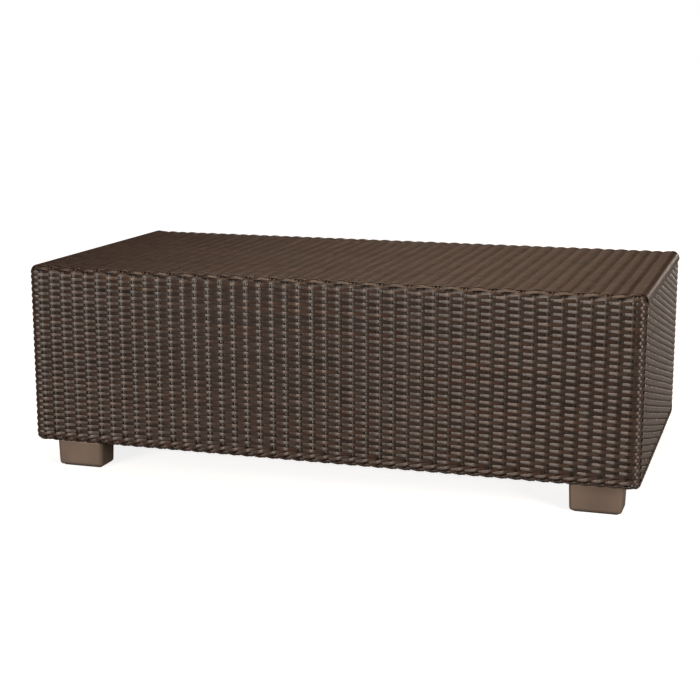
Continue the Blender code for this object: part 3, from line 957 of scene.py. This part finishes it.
class MakeFeet(Step, bpy.types.Operator):
    """Hollow tapered block feet with rounded edges, and the finish of their glides and bolts."""

    bl_idname = "table.feet"
    bl_label = "Feet"

    def build(self, context):
        finish = context.scene.table_finish
        coat = coated_material("foot_powder_coat", finish.foot_taupe, 0.36, 0.35)
        ease = EASE_DROP[-1]
        for foot in CORNERS:
            low, high = (np.array(c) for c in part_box(f"foot_{foot}"))
            centre = (low + high) / 2
            half_x, half_y = (high - low)[:2] / 2
            turn = np.linspace(0, QUARTER, 9)
            side_z = np.linspace(high[2] - ease, low[2] + FOOT_ROUND, 6)
            lean = FOOT_TAPER * (high[2] - side_z) / (side_z[0] - side_z[-1])
            curl = FOOT_ROUND * (1 - np.cos(turn[1:]))
            # down the outside, across the rim and up inside the hollow
            inset = np.concatenate([
                EASE_INSET, lean[1:], FOOT_TAPER + curl,
                [FOOT_TAPER + FOOT_RIM, FOOT_TAPER + FOOT_RIM, FOOT_TAPER + FOOT_WALL,
                 FOOT_WALL]])
            z = np.concatenate([
                high[2] - EASE_DROP, side_z[1:],
                low[2] + FOOT_ROUND - FOOT_ROUND * np.sin(turn[1:]),
                [low[2], low[2] + FOOT_WALL, low[2] + FOOT_ROUND + FOOT_WALL / 2,
                 high[2] - FOOT_WALL]])
            radius = np.maximum(FOOT_CORNER - inset * 0.9, 0.0015)
            radius[-4:] = (0.002, 0.002, 0.005, 0.005)
            rings = rounded_rings(half_x - inset, half_y - inset, radius, z)
            rings[..., :2] += centre[:2]
            lengths = path_lengths(rings.mean(axis=1)[None])
            obj = strands_to_object(f"block_foot_{foot}", rings[None], lengths, closed=False)
            obj.data.set_sharp_from_angle(angle=SHARP_ANGLE)
            finish_piece(obj, coat, [f"foot_{foot}"])
        plastic = coated_material("glide_plastic", finish.glide_black, 0.55, 0.0)
        plating = coated_material("zinc_plating", finish.zinc, 0.32, 1.0)
        for foot in CORNERS:
            finish_node(f"foot_glide_{foot}", plastic)
            for number in (1, 2):
                finish_node(f"foot_bolt_{foot}_{number}", plating)


class FinishFrame(Step, bpy.types.Operator):
    """Powder coat on the tube frame and the foot plates."""

    bl_idname = "table.frame"
    bl_label = "Frame"

    def build(self, context):
        finish = context.scene.table_finish
        coat = coated_material("frame_powder_coat", finish.frame_brown, 0.45, 0.4)
        painted = ("top_rail", "bottom_rail", "post", "upright", "top_brace", "foot_plate")
        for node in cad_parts:
            if node.startswith(painted):
                finish_node(node, coat)


def add_soft_light(name, place, target, width, height, power, colour):
    data = bpy.data.lights.new(name, "AREA")
    data.shape = "RECTANGLE"
    data.size = width
    data.size_y = height
    data.energy = power
    data.color = colour
    light = bpy.data.objects.new(name, data)
    light.location = place
    light.visible_camera = False
    light.rotation_euler = (Vector(target) - Vector(place)).to_track_quat("-Z", "Y").to_euler()
    bpy.context.scene.collection.objects.link(light)


class MakeStage(Step, bpy.types.Operator):
    """Pale floor, soft lights, sky and camera."""

    bl_idname = "table.stage"
    bl_label = "Stage"

    def build(self, context):
        studio = context.scene.table_studio
        self.make_floor(studio)
        self.make_sky()
        for name, light in LIGHTS.items():
            add_soft_light(name, *light)
        self.make_camera(context, studio)
        context.scene.view_settings.view_transform = "Standard"

    @staticmethod
    def make_floor(studio):
        mesh = bpy.data.meshes.new("floor")
        corners = [(-1, -1), (1, -1), (1, 1), (-1, 1)]
        mesh.from_pydata([(x * FLOOR_SIZE, y * FLOOR_SIZE, 0) for x, y in corners], [],
                         [(0, 1, 2, 3)])
        floor = bpy.data.objects.new("floor", mesh)
        bpy.context.scene.collection.objects.link(floor)
        material, net = new_material("floor_paint")
        seen = net.new("LightPath").outputs["Is Camera Ray"]
        place = net.new("TexCoord").outputs["Object"]
        length = net.new("VectorMath")
        length.operation = "LENGTH"
        net.feed(length.inputs[0], place)
        level = net.split(place)
        x, y = level["X"], level["Y"]
        # painted glow seen by the camera, paler away from the table, and a painted shadow under its
        # rear two thirds where the glow is cut out
        painted_glow_fade = net.range(length.outputs["Value"], 0.82, 1.0, 0.7, 3.5)
        ahead = net.range(y, 1.0, 0.0, -0.10, -0.06)
        aside = net.range(net.math("ABSOLUTE", x), 0.0, 1.0, 0.45, 0.56)
        past = net.range(y, 0.0, 1.0, 0.20, 0.30)
        clear = net.math("MAXIMUM", net.math("MAXIMUM", ahead, aside), past)
        # the table is lit by a glow behind it and beside its right end
        behind = net.range(y, 0.0, GLOW, 0.3, 1.6)
        beside = net.math("MINIMUM", net.range(x, 0.0, GLOW, 0.56, 0.75),
                          net.range(y, 0.0, GLOW, -0.4, -0.2))
        strength = net.new("Mix")
        net.feed(strength.inputs[0], seen)
        net.feed(strength.inputs[2], net.math("MAXIMUM", behind, beside))
        # the camera sees the painted glow, cut out by the painted shadow under the table
        net.feed(strength.inputs[3], net.math("MULTIPLY", painted_glow_fade, clear))
        net.fill({
            "Base Color": net.mix("MIX", seen, FLOOR_BOUNCE, tuple(studio.floor_grey)),
            "Roughness": 0.9,
            "Specular IOR Level": 0.1,
            "Emission Color": net.mix("MIX", seen, GLOW_COLOUR, (1.0, 1.0, 1.0)),
            "Emission Strength": strength.outputs[0],
        })
        mesh.materials.append(material)

    @staticmethod
    def make_sky():
        world = bpy.data.worlds.new("studio")
        bpy.context.scene.world = world
        world.use_nodes = True
        net = Net(world.node_tree, "Background")
        height = net.split(net.new("TexCoord").outputs["Generated"])["Z"]
        dim = net.ramp(height, [
            (0.0, (0.55, 0.50, 0.45)), (0.09, (0.50, 0.46, 0.41)), (0.13, (0.05, 0.042, 0.034)),
            (1.0, (0.06, 0.052, 0.045)),
        ])
        seen = net.new("LightPath").outputs["Is Camera Ray"]
        net.fill({"Color": net.mix("MIX", seen, dim, (1.0, 1.0, 1.0)), "Strength": 1.0})

    @staticmethod
    def make_camera(context, studio):
        turn = (Matrix.Rotation(studio.camera_yaw, 4, "Z")
                @ Matrix.Rotation(QUARTER - studio.camera_pitch, 4, "X")
                @ Matrix.Rotation(studio.camera_roll, 4, "Z"))
        data = bpy.data.cameras.new("camera")
        data.sensor_width = 36
        data.lens = studio.lens
        camera = bpy.data.objects.new("camera", data)
        camera.matrix_world = Matrix.Translation(studio.camera_place) @ turn
        context.scene.collection.objects.link(camera)
        context.scene.camera = camera


class TablePanel(bpy.types.Panel):
    """Lists the steps that build the table."""

    bl_idname = "VIEW3D_PT_wicker_table"
    bl_label = "Wicker Table"
    bl_space_type = "VIEW_3D"
    bl_region_type = "UI"
    bl_category = "Wicker Table"

    def draw(self, context):
        for step in STEPS:
            self.layout.operator(step.bl_idname)


SETTINGS = {
    "table_weave": WeaveSettings,
    "table_finish": FinishSettings,
    "table_studio": StudioSettings,
}
STEPS = (MakeSideWeavers, MakeTopWeavers, MakeLongStakes, MakeEndStakes, MakeBorder,
         MakeRailWrap, MakeFeet, FinishFrame, MakeStage)


def register():
    for cls in (*SETTINGS.values(), *STEPS, TablePanel):
        bpy.utils.register_class(cls)
    for name, group in SETTINGS.items():
        setattr(bpy.types.Scene, name, bpy.props.PointerProperty(type=group))


def unregister():
    for name in SETTINGS:
        delattr(bpy.types.Scene, name)
    for cls in reversed((*SETTINGS.values(), *STEPS, TablePanel)):
        bpy.utils.unregister_class(cls)


def main():
    register()
    for step in STEPS:
        group, name = step.bl_idname.split(".")
        getattr(getattr(bpy.ops, group), name)()


if __name__ == "__main__":
    main()
